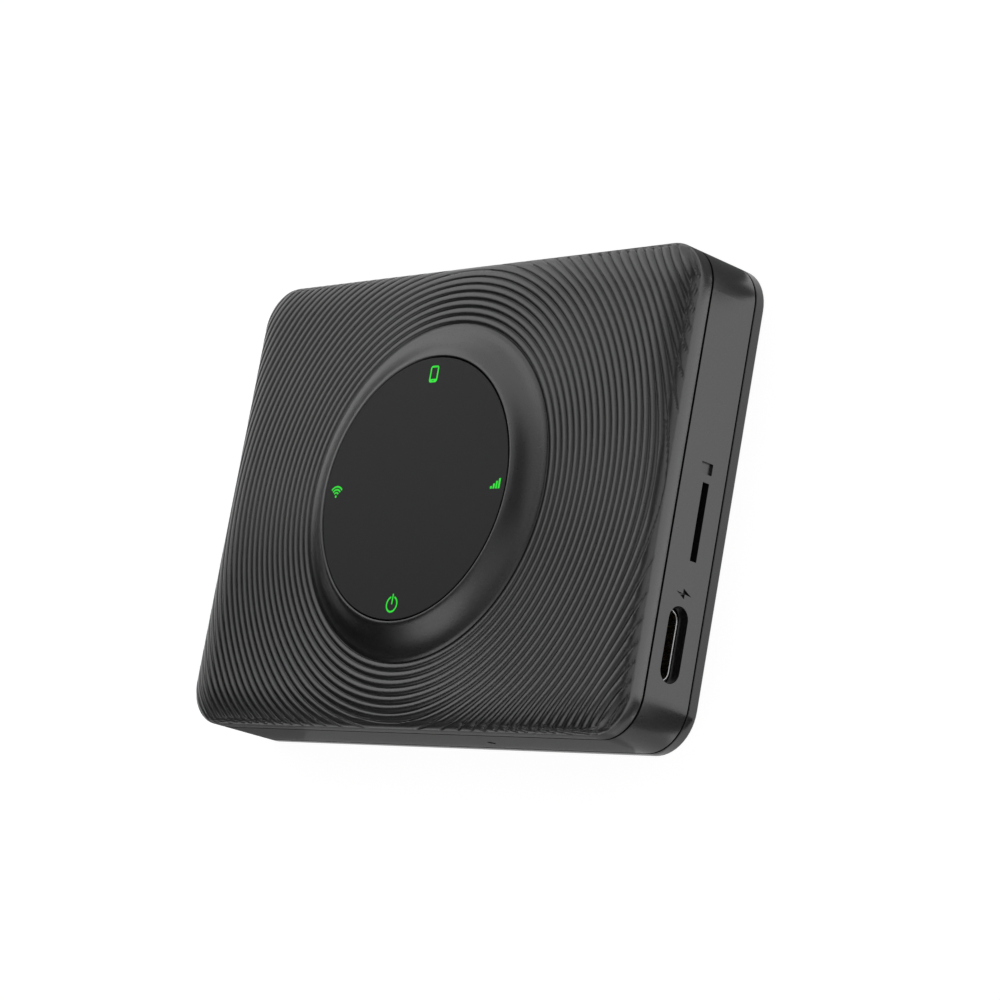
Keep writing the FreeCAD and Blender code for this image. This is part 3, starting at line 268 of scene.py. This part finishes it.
shellLook = {
    # in millimetres
    "angles": 720,          # rays round the key
    "cornerRadius": 5.5,
    "wall": 1.5,
    "seamEdge": 0.06,       # bevel at the seam
    "faceHeight": 12.9,
    "roofHeight": 11.5,     # underside of the face, where the bore starts
    "rollReach": 5.0,       # the rolled edge's width and drop
    "rollDrop": 1.9,
    "edgeZone": 1.0,        # the last stretch of each ray, spaced by the roll's own angle
    "edgeRows": 14,
    "edgeFade": 0.25,       # the ripples flatten over this last width
    "bore": 17.05,
    "lip": 0.20,            # radius of the round lip beside the key
    "lipRows": 6,
    "crest": 1.05,          # the two pulls of the ring's slope, measured out from the bore
    "waist": 2.15,
    "waistHeight": 13.2,
    "footLift": 0.04,       # how far the slope ends above the face
    "foot": 22.0,
    "slopeRows": 12,
    "footSteps": (0.35, 0.7, 1.0),
    "pitch": 1.037,
    "depth": 0.24,
    "valley": 0.12,         # half the width of a valley
    "crown": 0.02,          # how far each ridge arches between its valleys
    "ripples": 28,
    "rippleSteps": (0.06, 0.125, 0.5, 0.875, 0.94, 1.0),    # rows in each ripple, as shares of its pitch
}


def outlineReach(angles, halfLength, halfWidth, radius):
    # distance from the middle to a rounded rectangle along each angle: the nearer of the two
    # straight sides, or the corner circle where the ray meets it
    c, s = np.abs(np.cos(angles)), np.abs(np.sin(angles))
    straight = np.minimum(halfLength / np.maximum(c, 1e-9), halfWidth / np.maximum(s, 1e-9))
    cx, cy = halfLength - radius, halfWidth - radius
    along = c * cx + s * cy
    under = along ** 2 - (cx ** 2 + cy ** 2 - radius ** 2)
    corner = along + np.sqrt(np.maximum(under, 0.0))
    inCorner = (straight * c > cx) & (straight * s > cy)
    return np.where(inCorner, corner, straight)


def edgeDistance(x, y, halfLength, halfWidth, radius):
    # distance inwards from a rounded rectangle's edge
    dx = np.abs(x) - (halfLength - radius)
    dy = np.abs(y) - (halfWidth - radius)
    outside = np.hypot(np.maximum(dx, 0.0), np.maximum(dy, 0.0))
    inside = np.minimum(np.maximum(dx, dy), 0.0)
    return radius - outside - inside


def frontShell(look):
    low, high = boxOf("front_shell")
    halfLength, halfWidth = (high[0] - low[0]) / 2 / mm, (high[1] - low[1]) / 2 / mm
    seam, top = low[2] / mm, high[2] / mm
    radius, face = look["cornerRadius"], look["faceHeight"]
    angles = np.linspace(0, 2 * np.pi, look["angles"], endpoint=False)
    reach = outlineReach(angles, halfLength, halfWidth, radius)
    # rows from the bore outwards: each row is a radius per angle and a height per angle
    rows = []
    bore, lip, foot = look["bore"], look["lip"], look["foot"]
    lipTurn = np.linspace(np.pi, 0.5 * np.pi, look["lipRows"])
    flat = np.ones_like(angles)
    rows.append((bore * flat, look["roofHeight"] * flat))
    for turn in lipTurn:
        rows.append(((bore + lip * (1 + np.cos(turn))) * flat, (top - lip + lip * np.sin(turn)) * flat))
    # the slope to the foot: a cubic curve that starts and lands almost flat
    start = np.array([bore + lip * (1 + np.cos(lipTurn[-1])), top - lip + lip * np.sin(lipTurn[-1])])
    pull, land = np.array([bore + look["crest"], top]), np.array([bore + look["waist"], look["waistHeight"]])
    end = np.array([foot - look["valley"], face + look["footLift"]])
    for u in np.linspace(0, 1, look["slopeRows"] + 1)[1:]:
        point = ((1 - u) ** 3 * start + 3 * (1 - u) ** 2 * u * pull
                 + 3 * (1 - u) * u ** 2 * land + u ** 3 * end)
        rows.append((point[0] * flat, point[1] * flat))
    # the foot's edge, down into the first valley
    drop = end[1] - (face - look["depth"] - look["crown"])
    for u in look["footSteps"]:
        sunk = end[1] - drop * (1 - np.cos(np.pi * u)) / 2
        rows.append(((end[0] + look["valley"] * u) * flat, sunk * flat))
    # ripples: slightly arched ridges between narrow valleys, followed down the rolled edge
    steps = np.array(look["rippleSteps"])
    ringRadii = foot + look["pitch"] * (np.arange(look["ripples"])[:, None] + steps[None, :]).reshape(-1)
    flatReach = reach - look["edgeZone"]

    def surface(r, fade):
        x, y = r * np.cos(angles), r * np.sin(angles)
        inward = np.clip(edgeDistance(x, y, halfLength, halfWidth, radius), 0.0, look["rollReach"])
        rolled = face - look["rollDrop"] * (1 - np.sqrt(1 - (1 - inward / look["rollReach"]) ** 2))
        phase = ((r - foot) / look["pitch"] + 0.5) % 1.0 - 0.5
        across = np.minimum(np.abs(phase) * look["pitch"] / look["valley"], 1.0)
        drop = look["depth"] * (1 + np.cos(np.pi * across)) / 2 + look["crown"] * (1 - 2 * np.abs(phase)) ** 2
        return rolled - drop * fade

    for ring in ringRadii:
        r = np.minimum(ring, flatReach)
        rows.append((r, surface(r, 1.0)))
    for turn in np.linspace(0, np.pi / 2, look["edgeRows"] + 1)[1:]:
        r = reach - look["edgeZone"] * (1 - np.sin(turn))
        fade = np.clip((reach - r) / look["edgeFade"], 0.0, 1.0)
        rows.append((r, surface(r, fade)))
    groove = look["seamEdge"]
    wall = look["wall"]
    innerReach = outlineReach(angles, halfLength - wall, halfWidth - wall, radius - wall)
    rows.append((reach, (seam + groove) * flat))
    rows.append((reach - groove, seam * flat))
    rows.append((innerReach, seam * flat))
    rows.append((innerReach, look["roofHeight"] * flat))
    r = np.array([row[0] for row in rows])
    z = np.array([row[1] for row in rows])
    points = np.stack([r * np.cos(angles), r * np.sin(angles), z], axis=-1).reshape(-1, 3) * mm
    faces = gridFaces(len(rows), len(angles))
    points, faces = withoutSlivers(points, faces)
    piece = meshPiece("rippledShell", points, faces, "case")
    piece.data.materials.append(casePlastic)
    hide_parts("front_shell")
    return piece


shell = frontShell(shellLook)
print("front shell:", len(shell.data.polygons), "faces")


def pressSpring(node):
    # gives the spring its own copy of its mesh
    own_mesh(nodes[node])


pressSpring("sim_spring")


cameraLook = {"place": (0.30896, -0.08045, 0.27102), "target": (0.00652, 0.00056, 0.006),
              "up": (0.02986, 0.96490, 0.26090), "lens": 118.36}
floorLook = {"colour": (0.20, 0.20, 0.20), "glow": 0.94, "side": 3.0}
cardLook = {
    # name: (from x, from y, to x, to y, brightness), in millimetres
    "leftEnd": (-75.0, -52.0, -30.0, -30.2, 0.12),
    "longEdge": (-30.0, -52.0, 32.0, -30.2, 0.2),
    "cornerGleam": (32.0, -52.0, 40.5, -30.2, 0.42),
    "lowCorner": (40.9, -45.0, 50.0, -25.5, 0.1),
    "highEdge": (-20.0, 30.2, 50.0, 52.0, 0.15),
    "highCorner": (41.2, 27.0, 50.0, 30.2, 0.15),
}
cardHeight = 0.4    # above the floor
tentLook = {"distance": 0.8, "rise": 28, "share": 45, "topShare": 90, "topFrom": 60}    # angles in degrees
lightLook = {
    # brightness of each tent panel, by its height and then its bearing, in degrees from +X
    18: {15: 0.7, 60: 0.7, 105: 0.7, 150: 1.0},
    45: {15: 0.65, 105: 0.85, 150: 1.1, 240: 1.1, 285: 0.6, 330: 0.45},
    72: {105: 0.5, 195: 0.2, 285: 0.4},
}


def studioFloor(look):
    side = look["side"] / 2
    points = np.array([[-side, -side, 0], [side, -side, 0], [side, side, 0], [-side, side, 0]])
    mesh = bpy.data.meshes.new("floor")
    mesh.from_pydata(points.tolist(), [], [[0, 1, 2, 3]])
    floor = bpy.data.objects.new("floor", mesh)
    bpy.context.collection.objects.link(floor)
    material, shader = newMaterial("floorPaper", look["colour"], 0.9, specular=0.1)
    shader.inputs["Emission Color"].default_value = (1.0, 1.0, 1.0, 1.0)
    shader.inputs["Emission Strength"].default_value = look["glow"]
    mesh.materials.append(material)


def aimed(place, target, up=(0.0, 0.0, 1.0)):
    # a turn whose -Z looks at the target, with its Y as near to up as it can be
    back = (Vector(place) - Vector(target)).normalized()
    right = Vector(up).cross(back)
    right = right.normalized() if right.length > 1e-6 else Vector((1.0, 0.0, 0.0))
    turn = Matrix((right, back.cross(right), back)).transposed().to_4x4()
    turn.translation = Vector(place)
    return turn


def studioLights(looks, tent):
    # a tent of soft panels round the object: each fills its share of its ring, and its power
    # follows from its area and the brightness that its face should show
    for height, ring in looks.items():
        share = tent["topShare"] if height > tent["topFrom"] else tent["share"]
        rise = math.radians(height)
        width = 2 * tent["distance"] * math.tan(math.radians(share / 2 * math.cos(rise)))
        length = 2 * tent["distance"] * math.tan(math.radians(tent["rise"] / 2))
        for bearing, brightness in ring.items():
            name = f"panel{height}At{bearing}"
            data = bpy.data.lights.new(name, "AREA")
            data.shape = "RECTANGLE"
            data.size, data.size_y = width, length
            data.energy = brightness * math.pi * width * length
            lamp = bpy.data.objects.new(name, data)
            bpy.context.collection.objects.link(lamp)
            turn = math.radians(bearing)
            place = Vector((math.cos(rise) * math.cos(turn), math.cos(rise) * math.sin(turn), math.sin(rise)))
            lamp.matrix_world = aimed(place * tent["distance"], (0.0, 0.0, 0.0))


def studioCamera(look):
    data = bpy.data.cameras.new("camera")
    data.lens = look["lens"]
    data.sensor_width = 36.0
    data.clip_start = 0.01
    camera = bpy.data.objects.new("camera", data)
    bpy.context.collection.objects.link(camera)
    camera.matrix_world = aimed(look["place"], look["target"], look["up"])
    bpy.context.scene.camera = camera


def lowCards(looks, height):
    # dim cards low beside the edges, seen only in reflections, so that the edges aren't washed out
    for name, (x0, y0, x1, y1, brightness) in looks.items():
        points = np.array([(x0, y0, height), (x1, y0, height), (x1, y1, height), (x0, y1, height)]) * mm
        mesh = bpy.data.meshes.new(name)
        mesh.from_pydata(points.tolist(), [], [[0, 1, 2, 3]])
        card = bpy.data.objects.new(name, mesh)
        bpy.context.collection.objects.link(card)
        material, shader = newMaterial(name + "Paper", (0.0, 0.0, 0.0), 0.9, specular=0.0)
        shader.inputs["Emission Color"].default_value = (1.0, 1.0, 1.0, 1.0)
        shader.inputs["Emission Strength"].default_value = brightness
        mesh.materials.append(material)
        card.visible_camera = card.visible_diffuse = card.visible_shadow = card.visible_transmission = False


def studioWorld():
    # white beyond the floor for the camera alone, so that it lights nothing
    world = bpy.data.worlds.new("studio")
    world.use_nodes = True
    background = world.node_tree.nodes["Background"]
    background.inputs["Color"].default_value = (1.0, 1.0, 1.0, 1.0)
    rays = world.node_tree.nodes.new("ShaderNodeLightPath")
    world.node_tree.links.new(rays.outputs["Is Camera Ray"], background.inputs["Strength"])
    bpy.context.scene.world = world


studioFloor(floorLook)
lowCards(cardLook, cardHeight)
studioLights(lightLook, tentLook)
studioCamera(cameraLook)
studioWorld()
bpy.context.scene.view_settings.view_transform = "Standard"
print("studio ready")
